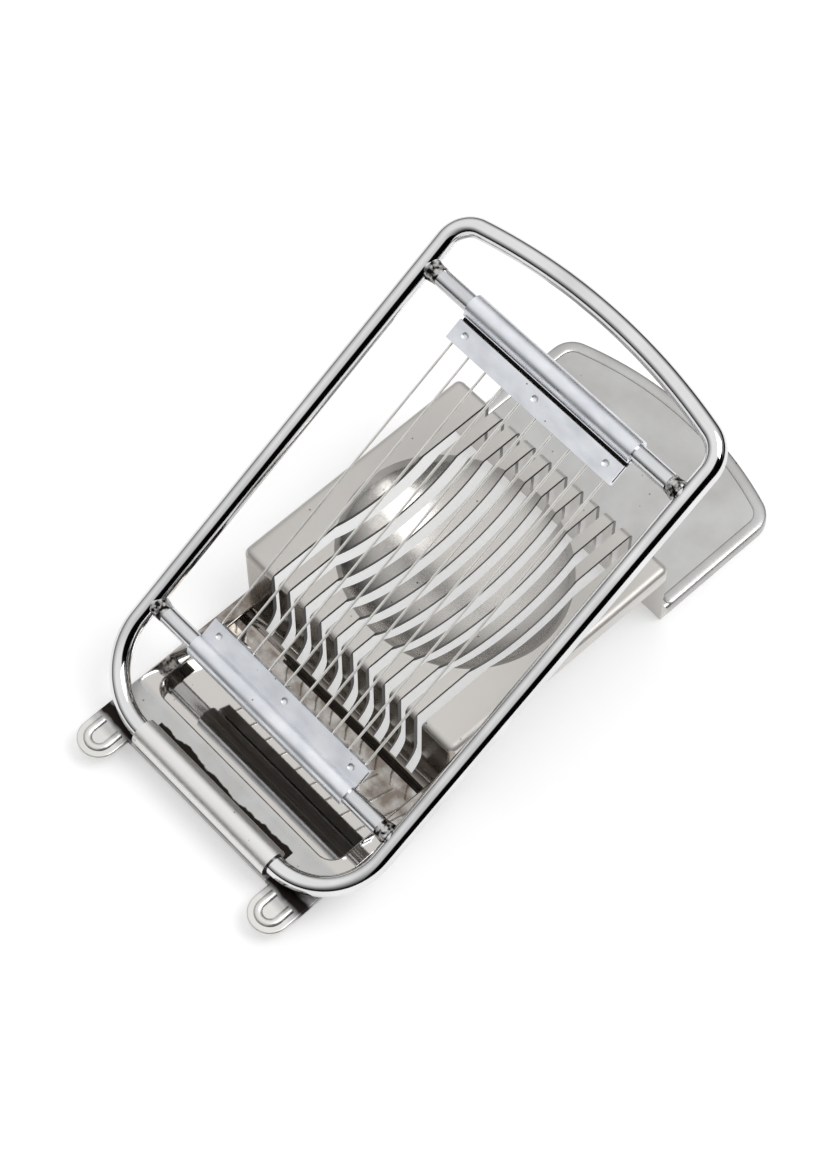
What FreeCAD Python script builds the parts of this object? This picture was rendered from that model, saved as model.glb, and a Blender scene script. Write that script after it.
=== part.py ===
"""Wire slicer: a stamped sheet base with a slotted deck, and a hinged rod frame strung with cutting wire.

Millimetres. +Z is up, +Y is the hinge end, and the origin is under the middle of the part.
"""
import FreeCAD
import Part
import Sketcher
import math
import os

V = FreeCAD.Vector
X_AXIS = V(1, 0, 0)
Z_AXIS = V(0, 0, 1)

# Driving dimensions, one cell each
SIZES = {
    # base sheet
    "base_length": 163.2,
    "sheet": 1.0,
    # rear tray, its sunk pan and its ears
    "tray_width": 67.6,
    "rim_round": 0.45,
    "pan_width": 59.4,
    "pan_corner": 4.0,
    "pan_depth": 4.1,
    "plate_depth": 9.6,
    "ear_reach": 12.4,
    "ear_width": 10.3,
    "bead_width": 2.4,
    "bead_rise": 0.55,
    "bead_inset": 2.5,
    "bead_start": 3.6,
    # hinge
    "hinge_rise": 2.9,
    "barrel_length": 43.5,
    "barrel_sheet": 0.9,
    "barrel_mouth": 2.2,
    "hinge_clearance": 0.05,
    # deck
    "wall_distance": 41.4,
    "deck_length": 66.9,
    "deck_width": 68.8,
    "deck_height": 24.0,
    "deck_skirt": 4.2,
    "wall_return": 2.6,
    "heel_bend": 8.0,
    "deck_round": 1.8,
    # bowl
    "bowl_length": 51.0,
    "bowl_width": 57.0,
    "bowl_depth": 9.5,
    "bowl_radius": 24.0,
    "bowl_setback": 33.0,
    # slots and wire
    "wire_count": 10,
    "wire_pitch": 5.2,
    "wire_diameter": 0.6,
    "wire_bend": 0.9,
    "wire_tail": 3.0,
    "slot_width": 2.4,
    "slot_foot": 3.0,
    "slot_sill": 1.6,
    # front foot
    "foot_width": 68.4,
    "foot_height": 2.8,
    "foot_round": 1.3,
    "foot_bow_radius": 88.0,
    "foot_corner": 6.5,
    # frame rod
    "rod_diameter": 4.8,
    "rail_spacing": 80.0,
    "rear_bend": 18.0,
    "front_bend": 7.0,
    "bow_reach": 137.5,
    "bow_radius": 150.0,
    "rest_angle": 31.0,
    # crossbars and clips
    "crossbar_diameter": 4.4,
    "rear_bar_reach": 22.9,
    "front_bar_reach": 119.9,
    "clip_margin": 1.7,
    "rear_clip_reach": 7.4,
    "front_clip_reach": 8.9,
    "clip_sheet": 0.7,
    "clip_clearance": 0.02,
    "clip_seam": 0.9,
    "notch_width": 1.0,
    "wire_clearance": 0.05,
    "dimple_count": 3,
    "dimple_radius": 1.4,
    "dimple_depth": 0.3,
}

doc = FreeCAD.newDocument("wire_slicer")
sheet = doc.addObject("Spreadsheet::Sheet", "dim")
for row, (alias, value) in enumerate(SIZES.items(), start=1):
    sheet.set(f"A{row}", alias)
    sheet.set(f"B{row}", str(value))
    sheet.setAlias(f"B{row}", alias)
doc.recompute()

# Places along the part, as expressions of the driving dimensions
EAR_TIP = "(dim.base_length / 2)"
FOOT_FRONT = "(-dim.base_length / 2)"
HINGE_Y = f"({EAR_TIP} - dim.ear_reach)"
RIM = "(dim.sheet + dim.pan_depth)"
HINGE_Z = f"({RIM} + dim.hinge_rise)"
BORE = "(dim.rod_diameter / 2 + dim.hinge_clearance)"
BARREL = f"({BORE} + dim.barrel_sheet)"
PLATE_REAR = f"({HINGE_Y} + {BARREL})"
PAN_REAR = f"({HINGE_Y} - dim.plate_depth)"
WALL = f"({HINGE_Y} - dim.wall_distance)"
FRONT = f"({WALL} - dim.deck_length)"
BOWL_Y = f"({WALL} - dim.bowl_setback)"
WIRE_SPAN = "((dim.wire_count - 1) * dim.wire_pitch)"
FIRST_WIRE = f"(-{WIRE_SPAN} / 2)"
CLIP_LENGTH = f"({WIRE_SPAN} + 2 * dim.clip_margin)"


def number(expression):
    """Value of an expression of the driving dimensions."""
    return float(sheet.evalExpression(expression.replace("dim.", "")))


def bind(obj, **expressions):
    """Tie properties of an object to expressions of the driving dimensions."""
    for name, expression in expressions.items():
        obj.setExpression(name, expression)
    return obj


def place(obj, x="0", y="0", z="0"):
    """Tie an object's position to expressions."""
    for axis, expression in zip("xyz", (x, y, z)):
        obj.setExpression(f"Placement.Base.{axis}", expression)
    return obj


def box(name, size, corner):
    """Block with its size and lowest corner given as expressions."""
    block = doc.addObject("Part::Box", name)
    bind(block, Length=size[0], Width=size[1], Height=size[2])
    return place(block, *corner)


def bar(name, radius, length, y="0", z="0", middle="0"):
    """Cylinder along X, centred on the given x."""
    rod = doc.addObject("Part::Cylinder", name)
    bind(rod, Radius=radius, Height=length)
    rod.Placement.Rotation = FreeCAD.Rotation(V(0, 1, 0), 90)
    return place(rod, f"{middle} - ({length}) / 2", y, z)


def combine(kind, name, parts):
    """Fuse several shapes, or keep what they share."""
    whole = doc.addObject(kind, name)
    whole.Shapes = parts
    whole.Refine = True
    doc.recompute()
    return whole


def cut(name, base, tool):
    """Take one shape from another."""
    rest = doc.addObject("Part::Cut", name)
    rest.Base = base
    rest.Tool = tool
    rest.Refine = True
    doc.recompute()
    return rest


def rounded(name, base, radius, wanted):
    """Round the edges of a shape that the test picks."""
    doc.recompute()
    fillet = doc.addObject("Part::Fillet", name)
    fillet.Base = base
    edges = [(i, radius, radius) for i, edge in enumerate(base.Shape.Edges, start=1) if wanted(edge)]
    fillet.Edges = edges
    doc.recompute()
    return fillet


def level(edge, height):
    """True where an edge lies at one height."""
    bounds = edge.BoundBox
    return abs(bounds.ZMin - height) < 1e-4 and abs(bounds.ZMax - height) < 1e-4


def upright(edge):
    """True for a straight vertical edge."""
    bounds = edge.BoundBox
    return bounds.XLength < 1e-4 and bounds.YLength < 1e-4


def polygon(body, role, name, corners):
    """Closed sketch of straight lines on an origin plane, each corner tied to two expressions."""
    sketch = body.newObject("Sketcher::SketchObject", name)
    plane = [item for item in body.Origin.OriginFeatures if item.Role == role][0]
    sketch.AttachmentSupport = [(plane, "")]
    sketch.MapMode = "FlatFace"
    points = [V(number(across), number(up), 0) for across, up in corners]
    for start, end in zip(points, points[1:] + points[:1]):
        sketch.addGeometry(Part.LineSegment(start, end))
    for i in range(len(points)):
        sketch.addConstraint(Sketcher.Constraint("Coincident", i, 2, (i + 1) % len(points), 1))
    for i, (across, up) in enumerate(corners):
        for kind, expression in (("DistanceX", across), ("DistanceY", up)):
            datum = Sketcher.Constraint(kind, -1, 1, i, 1, number(expression))
            sketch.setExpression(f"Constraints[{sketch.addConstraint(datum)}]", expression)
    return sketch


def padded(name, role, corners, length, both_sides=False):
    """Body made by drawing a polygon out to a length."""
    body = doc.addObject("PartDesign::Body", name)
    sketch = polygon(body, role, f"{name}_outline", corners)
    pad = body.newObject("PartDesign::Pad", f"{name}_pad")
    pad.Profile = sketch
    pad.Midplane = both_sides
    bind(pad, Length=length)
    doc.recompute()
    return body


# Base: pan floor, rear wall, deck and front wall are one bent strip
def bent_strip():
    """Side profile of the strip at the deck's width, with turned-back side edges and round bends."""
    lap = f"({FRONT} - dim.sheet)"
    under = "(dim.deck_height - dim.sheet)"
    profile = [
        (f"{WALL} + dim.sheet", "0"), (f"{WALL} - dim.sheet", "0"), (f"{WALL} - dim.sheet", under),
        (f"{FRONT} + dim.sheet", under), (f"{FRONT} + dim.sheet", "dim.foot_height - dim.sheet"),
        (lap, "dim.foot_height - dim.sheet"), (lap, "dim.foot_height"), (FRONT, "dim.foot_height"),
        (FRONT, "dim.deck_height"), (WALL, "dim.deck_height"), (WALL, "dim.sheet"),
        (f"{WALL} + dim.sheet", "dim.sheet"),
    ]
    strip = padded("bent_strip", "YZ_Plane", profile, "dim.deck_width", both_sides=True)
    turned = []
    corners = []
    sides = (("left", "", "dim.deck_width / 2 - dim.sheet"), ("right", "-", "-dim.deck_width / 2"))
    for side, sign, x in sides:
        down = ("dim.sheet", "dim.deck_length", "dim.deck_skirt")
        turned.append(box(f"{side}_skirt", down, (x, FRONT, "dim.deck_height - dim.deck_skirt")))
        rear = ("dim.sheet", "dim.wall_return", "dim.deck_height")
        turned.append(box(f"{side}_rear_return", rear, (x, f"{WALL} - dim.wall_return", "0")))
        low = "(dim.foot_height - dim.sheet)"
        front = ("dim.sheet", "dim.wall_return", f"dim.deck_height - {low}")
        turned.append(box(f"{side}_front_return", front, (x, FRONT, low)))
        inner = "(dim.pan_width / 2 + dim.sheet)"
        edge = inner if sign == "" else f"-{inner} - dim.deck_width"
        size = ("dim.deck_width", "dim.wall_return + 3 * dim.sheet", "dim.pan_depth + dim.sheet")
        start = f"{WALL} - dim.wall_return - dim.sheet"
        corners.append(box(f"{side}_low_corner", size, (edge, start, "-dim.sheet")))
        size = ("dim.deck_width", "dim.wall_return", f"dim.deck_height - dim.deck_skirt - {low} + dim.sheet")
        corners.append(box(f"{side}_front_trim", size, (edge, f"{FRONT} + dim.sheet", f"{low} - dim.sheet")))
    whole = combine("Part::MultiFuse", "strip_with_skirts", [strip] + turned)
    top = number("dim.deck_height")
    half = number("dim.deck_width / 2")
    ends = (number(WALL), number(FRONT))

    def outer_edge(edge):
        """True for the outer edges of the deck's upper face and the outer upright edges of its walls."""
        bounds = edge.BoundBox
        at_side = bounds.XLength < 1e-4 and abs(abs(bounds.XMin) - half) < 1e-4
        at_end = bounds.YLength < 1e-4 and min(abs(bounds.YMin - y) for y in ends) < 1e-4
        if level(edge, top):
            return at_side or at_end
        return upright(edge) and at_side and at_end and abs(bounds.ZMax - top) < 1e-4

    soft = rounded("deck_round_edges", whole, number("dim.deck_round"), outer_edge)
    corners.append(heel_block("strip"))
    return cut("trimmed_strip", soft, combine("Part::MultiFuse", "low_corners", corners))


def heel_block(name):
    """Square corner between the pan's floor and the rear wall, which the bend takes the place of."""
    size = ("dim.pan_width + 2 * dim.sheet", "dim.heel_bend + dim.sheet", "dim.heel_bend + dim.sheet")
    return box(f"{name}_heel_corner", size, ("-dim.pan_width / 2 - dim.sheet", f"{WALL} - dim.sheet", "0"))


def heel():
    """Round bend where the pan's floor turns up into the rear wall, with a cheek at each side."""
    y = f"{WALL} + dim.heel_bend"
    z = "dim.sheet + dim.heel_bend"
    outside = bar("heel_outside", "dim.heel_bend + dim.sheet", "dim.pan_width + 2 * dim.sheet", y, z)
    inside = bar("heel_inside", "dim.heel_bend", "dim.pan_width + 4 * dim.sheet", y, z)
    bend = combine("Part::MultiCommon", "heel_bend", [cut("heel_ring", outside, inside), heel_block("bend")])
    cheeks = []
    for side, x in (("left", "dim.pan_width / 2"), ("right", "-dim.pan_width / 2 - dim.sheet")):
        size = ("dim.sheet", "dim.heel_bend + 2 * dim.sheet", f"{RIM} - dim.sheet / 2")
        cheeks.append(box(f"{side}_cheek", size, (x, f"{WALL} - dim.sheet", "0")))
    return combine("Part::MultiFuse", "heel", [bend] + cheeks)


def bowl(name, wall):
    """Ellipsoid whose section at the deck's face is the bowl's rim, larger by a wall."""
    dish = doc.addObject("Part::Ellipsoid", name)
    rise = "(dim.bowl_radius - dim.bowl_depth)"
    spread = f"sqrt(1 - pow({rise} / dim.bowl_radius; 2))"
    bind(dish, Radius1=f"dim.bowl_radius + {wall}", Radius2=f"dim.bowl_width / 2 / {spread} + {wall}",
         Radius3=f"dim.bowl_length / 2 / {spread} + {wall}")
    dish.Angle1 = -90
    dish.Angle2 = 90
    return place(dish, "0", BOWL_Y, f"dim.deck_height + {rise}")


def bowl_shell():
    """Lower cap of the larger ellipsoid, up to the deck's face."""
    block = box("bowl_block", ("dim.deck_width", "dim.deck_length", "dim.deck_height"),
                ("-dim.deck_width / 2", FRONT, "0"))
    return combine("Part::MultiCommon", "bowl_cap", [bowl("bowl_outside", "dim.sheet"), block])


def slots():
    """One upright slit for each wire through rear wall, deck, bowl and front wall, with a floor toe."""
    slits = []
    for i in range(int(number("dim.wire_count"))):
        x = f"{FIRST_WIRE} + {i} * dim.wire_pitch - dim.slot_width / 2"
        sill = "(dim.foot_height + dim.slot_sill)"
        long = ("dim.slot_width", "dim.deck_length + 2 * dim.sheet", f"dim.deck_height + dim.sheet - {sill}")
        slits.append(box(f"slot_{i + 1}", long, (x, f"{FRONT} - dim.sheet", sill)))
        toe = ("dim.slot_width", "dim.slot_foot + 2 * dim.sheet", f"{sill} + 2 * dim.sheet")
        slits.append(box(f"slot_toe_{i + 1}", toe, (x, f"{WALL} - 2 * dim.sheet", "-dim.sheet")))
    return slits


def rim():
    """Flat sheet rim: hinge plate, two side rails and two rear ears, with the pan's mouth cut out."""
    side = "(dim.tray_width / 2)"
    ear = "(dim.tray_width / 2 - dim.ear_width)"
    gap = "(dim.pan_width / 2)"
    end = f"({WALL} - dim.sheet / 2)"
    plan = [
        (side, end), (side, EAR_TIP), (ear, EAR_TIP), (ear, PLATE_REAR), (f"-{ear}", PLATE_REAR),
        (f"-{ear}", EAR_TIP), (f"-{side}", EAR_TIP), (f"-{side}", end), (f"-{gap}", end),
        (f"-{gap}", PAN_REAR),
        (gap, PAN_REAR), (gap, end),
    ]
    sheet_plan = padded("rim_plan", "XY_Plane", plan, "dim.sheet")
    place(sheet_plan, z="dim.pan_depth")
    tip_y = number(EAR_TIP)
    tips = rounded("ear_tips", sheet_plan, 0.49 * number("dim.ear_width"),
                   lambda edge: upright(edge) and abs(edge.BoundBox.YMin - tip_y) < 1e-4)
    rear_y = number(PAN_REAR)
    corners = rounded("pan_corners", tips, number("dim.pan_corner"),
                      lambda edge: upright(edge) and abs(edge.BoundBox.YMin - rear_y) < 1e-4)
    top = number(RIM)
    wall_y = number(end)
    return rounded("rim_edges", corners, number("dim.rim_round"), lambda edge: level(edge, top)
                   and not (edge.BoundBox.YLength < 1e-4 and abs(edge.BoundBox.YMin - wall_y) < 1e-4))


def pan_block(name, inset, low, high):
    """Plan of the pan with round rear corners, smaller by an inset, between two heights."""
    half = f"(dim.pan_width / 2 - ({inset}))"
    rear = f"({PAN_REAR} - ({inset}))"
    end = f"({WALL} - dim.sheet / 2)"
    block = box(name, (f"2 * {half}", f"{rear} - {end}", f"{high} - {low}"), (f"-{half}", end, low))
    doc.recompute()
    rear_y = number(rear)
    return rounded(f"{name}_corners", block, number(f"dim.pan_corner - ({inset})"),
                   lambda edge: upright(edge) and abs(edge.BoundBox.YMin - rear_y) < 1e-4)


def pan():
    """Sunk pan: its wall drops from the rim's mouth to a floor on the table."""
    shell = cut("pan_shell", pan_block("pan_outside", "-dim.sheet", "0", f"{RIM} - dim.sheet / 2"),
                pan_block("pan_inside", "0", "dim.sheet", f"{RIM} + dim.sheet"))
    return cut("pan", shell, heel_block("pan"))


def beads():
    """A raised U on each ear, half a round rod sunk in the sheet."""
    rails = []
    for side, sign in (("left", 1), ("right", -1)):
        middle = sign * number("dim.tray_width / 2 - dim.ear_width / 2")
        turn = number("dim.ear_width / 2 - dim.bead_inset")
        far = number(f"{EAR_TIP} - dim.ear_width / 2")
        near = number(f"{HINGE_Y} + dim.bead_start")
        high = number(f"{RIM} + dim.bead_rise - dim.bead_width / 2")
        path = Part.Wire([
            line(V(middle - turn, near, 0), V(middle - turn, far, 0)),
            arc(V(middle, far, 0), turn, 180, 0),
            line(V(middle + turn, far, 0), V(middle + turn, near, 0)),
        ])
        rail = swept(f"{side}_bead", path, number("dim.bead_width / 2"), V(0, 1, 0))
        rail.Placement.Base = V(0, 0, high)
        rails.append(rail)
    return rails


def foot_block(name, inset, height):
    """Foot plan: a rectangle with a bowed front and round corners, smaller by an inset."""
    rear = f"({FRONT} + dim.sheet)"
    front = f"({FOOT_FRONT} + {inset})"
    length = f"({rear} - {inset} - {front})"
    block = box(f"{name}_block", (f"dim.foot_width - 2 * {inset}", length, height),
                (f"-dim.foot_width / 2 + {inset}", front, "0"))
    bow = doc.addObject("Part::Cylinder", f"{name}_bow")
    bind(bow, Radius=f"dim.foot_bow_radius - {inset}", Height=height)
    place(bow, "0", f"{FOOT_FRONT} + dim.foot_bow_radius", "0")
    plan = combine("Part::MultiCommon", f"{name}_plan", [block, bow])
    rear_y = number(rear) - 1.0
    return rounded(f"{name}_corners", plan, number(f"dim.foot_corner - {inset}"),
                   lambda edge: upright(edge) and edge.BoundBox.YMin < rear_y - number("dim.sheet"))


def foot():
    """Front foot: plate and skirt of one sheet, with a rounded shoulder."""
    outer = foot_block("foot_outside", "0", "dim.foot_height")
    top = number("dim.foot_height")
    rear_y = number(f"{FRONT} + dim.sheet")
    crowned = rounded("foot_crown", outer, number("dim.foot_round"), lambda edge: level(edge, top)
                      and not (edge.BoundBox.YLength < 1e-4 and abs(edge.BoundBox.YMin - rear_y) < 1e-4))
    return cut("foot_shell", crowned, foot_block("foot_inside", "dim.sheet", "dim.foot_height - dim.sheet"))


def barrel():
    """Hinge curl: the plate's rear edge goes up behind the rod, over it and down in front to a mouth."""
    curl = bar("curl_outside", BARREL, "dim.barrel_length", HINGE_Y, HINGE_Z)
    bore = bar("curl_bore", BORE, "dim.barrel_length + 2 * dim.sheet", HINGE_Y, HINGE_Z)
    mouth = box("curl_mouth", ("dim.barrel_length + 2 * dim.sheet", BARREL, "dim.barrel_mouth"),
                ("-dim.barrel_length / 2 - dim.sheet", f"{HINGE_Y} - {BARREL} - dim.sheet", RIM))
    return cut("curl", curl, combine("Part::MultiFuse", "curl_hollow", [bore, mouth]))


def base():
    """The whole stamped sheet."""
    pieces = [bent_strip(), heel(), bowl_shell(), rim(), pan(), foot(), barrel()]
    body = combine("Part::MultiFuse", "sheet_body", pieces + beads())
    holes = combine("Part::MultiFuse", "sheet_holes", [bowl("bowl_inside", "0")] + slots())
    return cut("base", body, holes)


# Frame: built flat with the hinge on the X axis and the front towards -Y, then turned up to its rest angle
def arc(centre, radius, start, end):
    """Arc in the XY plane from one angle to another, in degrees."""
    angles = [math.radians(a) for a in (start, (start + end) / 2, end)]
    points = [centre + V(math.cos(a), math.sin(a), 0) * radius for a in angles]
    return Part.Arc(*points).toShape()


def line(start, end):
    """Straight edge."""
    return Part.LineSegment(start, end).toShape()


def swept(name, path, radius, heading):
    """Round rod along a path that starts at its first edge with the given heading."""
    start = path.OrderedVertexes[0].Point
    section = Part.Wire([Part.makeCircle(radius, start, heading)])
    solid = path.makePipeShell([section], True, False)
    feature = doc.addObject("Part::Feature", name)
    feature.Shape = solid
    return feature


def frame_rod():
    """Closed loop: straight hinge bar, large rear bends, straight rails, tight front bends, bowed front."""
    half = number("dim.rail_spacing / 2")
    rear = number("dim.rear_bend")
    front = number("dim.front_bend")
    reach = number("dim.bow_reach")
    bow = number("dim.bow_radius")
    bow_centre = V(0, bow - reach, 0)
    inset = half - front
    corner_y = bow_centre.y - math.sqrt((bow - front) ** 2 - inset ** 2)
    swing = math.degrees(math.asin(inset / (bow - front)))
    edges = [
        line(V(0, 0, 0), V(half - rear, 0, 0)),
        arc(V(half - rear, -rear, 0), rear, 90, 0),
        line(V(half, -rear, 0), V(half, corner_y, 0)),
        arc(V(inset, corner_y, 0), front, 0, -90 + swing),
        arc(bow_centre, bow, -90 + swing, -90 - swing),
        arc(V(-inset, corner_y, 0), front, -90 - swing, -180),
        line(V(-half, corner_y, 0), V(-half, -rear, 0)),
        arc(V(rear - half, -rear, 0), rear, 180, 90),
        line(V(rear - half, 0, 0), V(0, 0, 0)),
    ]
    return swept("frame_rod", Part.Wire(edges), number("dim.rod_diameter / 2"), X_AXIS)


def crossbar(name, reach):
    """Rod between the rails, its ends shaped to sit against them."""
    whole = bar(f"{name}_rod", "dim.crossbar_diameter / 2", "dim.rail_spacing", f"-{reach}")
    rails = []
    for side, sign in (("left", ""), ("right", "-")):
        rail = doc.addObject("Part::Cylinder", f"{name}_{side}_rail")
        bind(rail, Radius="dim.rod_diameter / 2", Height="4 * dim.rod_diameter")
        rail.Placement.Rotation = FreeCAD.Rotation(X_AXIS, 90)
        place(rail, f"{sign}dim.rail_spacing / 2", f"-{reach} + 2 * dim.rod_diameter", "0")
        rails.append(rail)
    return cut(name, whole, combine("Part::MultiFuse", f"{name}_rails", rails))


def clip(name, reach, deep, toward, seam_side):
    """Folded sheet: a tube round the crossbar and a flange of two leaves, notched for the strands.

    reach is the crossbar's distance from the hinge and deep is how far the flange stands out from its axis.
    toward is 1 where the flange points to the hinge and -1 where it points to the bow.
    """
    bore = "(dim.crossbar_diameter / 2 + dim.clip_clearance)"
    tube = f"({bore} + dim.clip_sheet)"
    slit = "(dim.wire_diameter + 2 * dim.wire_clearance)"
    thick = f"({slit} + 2 * dim.clip_sheet)"
    long = CLIP_LENGTH
    left = f"-{CLIP_LENGTH} / 2"

    def slab(part, depth, high, near, low, wide=long, start=left):
        """Block from a distance off the crossbar's axis, on the flange's side."""
        y = f"-{reach} + ({near})" if toward > 0 else f"-{reach} - ({near}) - ({depth})"
        return box(f"{name}_{part}", (wide, depth, high), (start, y, low))

    flange = slab("flange", deep, thick, "0", f"-{thick} / 2")
    round_side = bar(f"{name}_tube", tube, long, f"-{reach}")
    whole = combine("Part::MultiFuse", f"{name}_sheet", [round_side, flange])
    hollows = [bar(f"{name}_bore", bore, f"{long} + 2 * dim.sheet", f"-{reach}")]
    past = (f"{CLIP_LENGTH} + 2 * dim.sheet", f"-{CLIP_LENGTH} / 2 - dim.sheet")
    hollows.append(slab("fold", f"{deep} - dim.clip_sheet", slit, "0", f"-{slit} / 2", *past))
    low = f"{slit} / 2" if seam_side > 0 else f"-{slit} / 2 - 2 * dim.clip_sheet"
    seam = slab("seam", "dim.clip_seam", "2 * dim.clip_sheet", f"{tube}", low, *past)
    hollows.append(seam)
    for i in range(int(number("dim.wire_count"))):
        x = f"{FIRST_WIRE} + {i} * dim.wire_pitch - dim.notch_width / 2"
        near = f"{deep} - dim.clip_sheet - dim.sheet / 4"
        notch = slab(f"notch_{i + 1}", "2 * dim.clip_sheet", slit, near, f"-{slit} / 2", "dim.notch_width", x)
        hollows.append(notch)
    dimples = int(number("dim.dimple_count"))
    for i in range(dimples):
        ball = doc.addObject("Part::Sphere", f"{name}_dimple_{i + 1}")
        bind(ball, Radius="dim.dimple_radius")
        x = f"{CLIP_LENGTH} * ({i} / ({dimples} - 1) - 0.5) * 0.86"
        off = f"({tube} + {deep}) / 2"
        y = f"-{reach} + {off}" if toward > 0 else f"-{reach} - {off}"
        place(ball, x, y, f"{thick} / 2 + dim.dimple_radius - dim.dimple_depth")
        hollows.append(ball)
    return cut(name, whole, combine("Part::MultiFuse", f"{name}_hollows", hollows))


def cutting_wire():
    """One wire laced to and fro, each turn caught inside the fold of a clip."""
    count = int(number("dim.wire_count"))
    pitch = number("dim.wire_pitch")
    bend = number("dim.wire_bend")
    inside = number("dim.clip_sheet + dim.wire_diameter / 2 + dim.wire_clearance")
    rear_turn = -number("dim.rear_bar_reach + dim.rear_clip_reach") + inside
    front_turn = -number("dim.front_bar_reach - dim.front_clip_reach") - inside
    tail = rear_turn + number("dim.wire_tail")
    first = number(FIRST_WIRE)
    edges = []
    for i in range(count):
        x = first + i * pitch
        going = i % 2 == 0
        turn = front_turn if going else rear_turn
        back = -1 if going else 1
        start = tail if i == 0 else (rear_turn - bend if going else front_turn + bend)
        last = i == count - 1
        stop = tail if last else turn - back * bend
        edges.append(line(V(x, start, 0), V(x, stop, 0)))
        if last:
            break
        into = arc(V(x + bend, turn - back * bend, 0), bend, 180, 180 + 90 if going else 90)
        out = arc(V(x + pitch - bend, turn - back * bend, 0), bend, 270 if going else 90, 360 if going else 0)
        edges += [into, line(V(x + bend, turn, 0), V(x + pitch - bend, turn, 0)), out]
    return swept("cutting_wire", Part.Wire(edges), number("dim.wire_diameter / 2"), V(0, -1, 0))


def main():
    """Build the pieces, turn the frame up, check every object and write one file per piece."""
    fixed = [base()]
    frame = [
        frame_rod(),
        crossbar("rear_crossbar", "dim.rear_bar_reach"),
        crossbar("front_crossbar", "dim.front_bar_reach"),
        clip("rear_wire_clip", "dim.rear_bar_reach", "dim.rear_clip_reach", -1, -1),
        clip("front_wire_clip", "dim.front_bar_reach", "dim.front_clip_reach", 1, 1),
        cutting_wire(),
    ]
    doc.recompute()
    hinge = V(0, number(HINGE_Y), number(HINGE_Z))
    for piece in frame:
        piece.Placement = FreeCAD.Placement(hinge, FreeCAD.Rotation(X_AXIS, -number("dim.rest_angle")))
    doc.recompute()
    for obj in doc.Objects:
        if "Invalid" in obj.State or "Error" in obj.State:
            raise RuntimeError(f"{obj.Name} failed: {obj.State}")
    os.makedirs("parts", exist_ok=True)
    for piece in fixed + frame:
        shape = piece.Shape
        if shape.isNull() or not shape.isValid() or len(shape.Solids) != 1:
            raise RuntimeError(f"{piece.Label}: not one valid solid")
        shape.exportStep(f"parts/{piece.Label}.step")
        bounds = shape.optimalBoundingBox(False)
        print(piece.Label, len(shape.Faces), round(shape.Volume, 2), [round(v, 2) for v in (
            bounds.XMin, bounds.YMin, bounds.ZMin, bounds.XMax, bounds.YMax, bounds.ZMax)])


main()
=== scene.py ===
"""Dresses a wire slicer: stamped aluminium base, polished rod frame, folded wire clips and one laced cutting wire.

Metres, in the part's own frame: +Z up, +Y towards the hinge, origin on the table under the middle of the part.
"""
import logging
import math
from dataclasses import dataclass
from enum import Enum
from typing import Any, Sequence

import bpy
import numpy as np
from mathutils import Matrix, Vector

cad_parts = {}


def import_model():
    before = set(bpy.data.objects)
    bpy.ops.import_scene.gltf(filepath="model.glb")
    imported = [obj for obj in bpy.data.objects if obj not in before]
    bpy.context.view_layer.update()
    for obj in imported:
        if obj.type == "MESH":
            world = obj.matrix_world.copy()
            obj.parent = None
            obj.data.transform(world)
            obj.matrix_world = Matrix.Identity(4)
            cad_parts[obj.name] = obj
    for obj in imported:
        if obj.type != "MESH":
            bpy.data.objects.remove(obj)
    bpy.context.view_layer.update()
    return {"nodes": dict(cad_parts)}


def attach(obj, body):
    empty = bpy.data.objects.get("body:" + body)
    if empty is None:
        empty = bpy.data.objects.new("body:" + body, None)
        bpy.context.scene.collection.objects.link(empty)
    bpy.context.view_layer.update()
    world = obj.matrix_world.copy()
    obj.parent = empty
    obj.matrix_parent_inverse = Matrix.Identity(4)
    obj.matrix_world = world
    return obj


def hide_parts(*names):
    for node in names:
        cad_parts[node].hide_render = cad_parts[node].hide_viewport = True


LOG = logging.getLogger("slicer")
MM = 0.001
PHOTO_SIZE = (827, 1169)
HINGE_MM = (0.0, 69.2, 8.0)
REST_ANGLE = 31.0
DOME_RINGS = 5
DOME_TIP = 0.02

Array = np.ndarray
Tree = bpy.types.NodeTree
Socket = bpy.types.NodeSocket
Material = bpy.types.Material
Piece = bpy.types.Object
Range = tuple[float, float]
Place = tuple[float, float, float]


class Body(Enum):
    """Bodies of the part that a piece can ride on."""

    BASE = "base_body"
    FRAME = "frame_body"


class Slot(Enum):
    """Material slots of the record."""

    SHEET = "base_sheet"
    ROD = "polished_rod"
    CROSSBAR = "crossbar_steel"
    WIRE = "wire_steel"


def linear(code: str) -> tuple[float, float, float, float]:
    """Turn an sRGB hex colour into a linear colour.

    Args:
        code: Six hex digits after a hash.
    Returns:
        Linear red, green, blue and full alpha.
    """
    raw = np.array([int(code[i:i + 2], 16) for i in (1, 3, 5)]) / 255.0
    rgb = np.where(raw <= 0.04045, raw / 12.92, ((raw + 0.055) / 1.055) ** 2.4)
    return (float(rgb[0]), float(rgb[1]), float(rgb[2]), 1.0)


# Nodes
def add_node(tree: Tree, kind: str, settings: dict[str, Any] | None = None, **inputs: Any) -> bpy.types.Node:
    """Add a node, set its properties, and fill or link its inputs.

    Args:
        tree: Node tree to add to.
        kind: Node type name.
        settings: Node properties by name.
        inputs: Values or output sockets by input name, with underscores for spaces, or in0, in1 by number.
    Returns:
        The new node.
    """
    node = tree.nodes.new(kind)
    for name, value in (settings or {}).items():
        setattr(node, name, value)
    for name, value in inputs.items():
        numbered = name.startswith("in") and name[2:].isdigit()
        socket = node.inputs[int(name[2:])] if numbered else node.inputs[name.replace("_", " ")]
        if isinstance(value, Socket):
            tree.links.new(value, socket)
        else:
            socket.default_value = value
    return node


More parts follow.
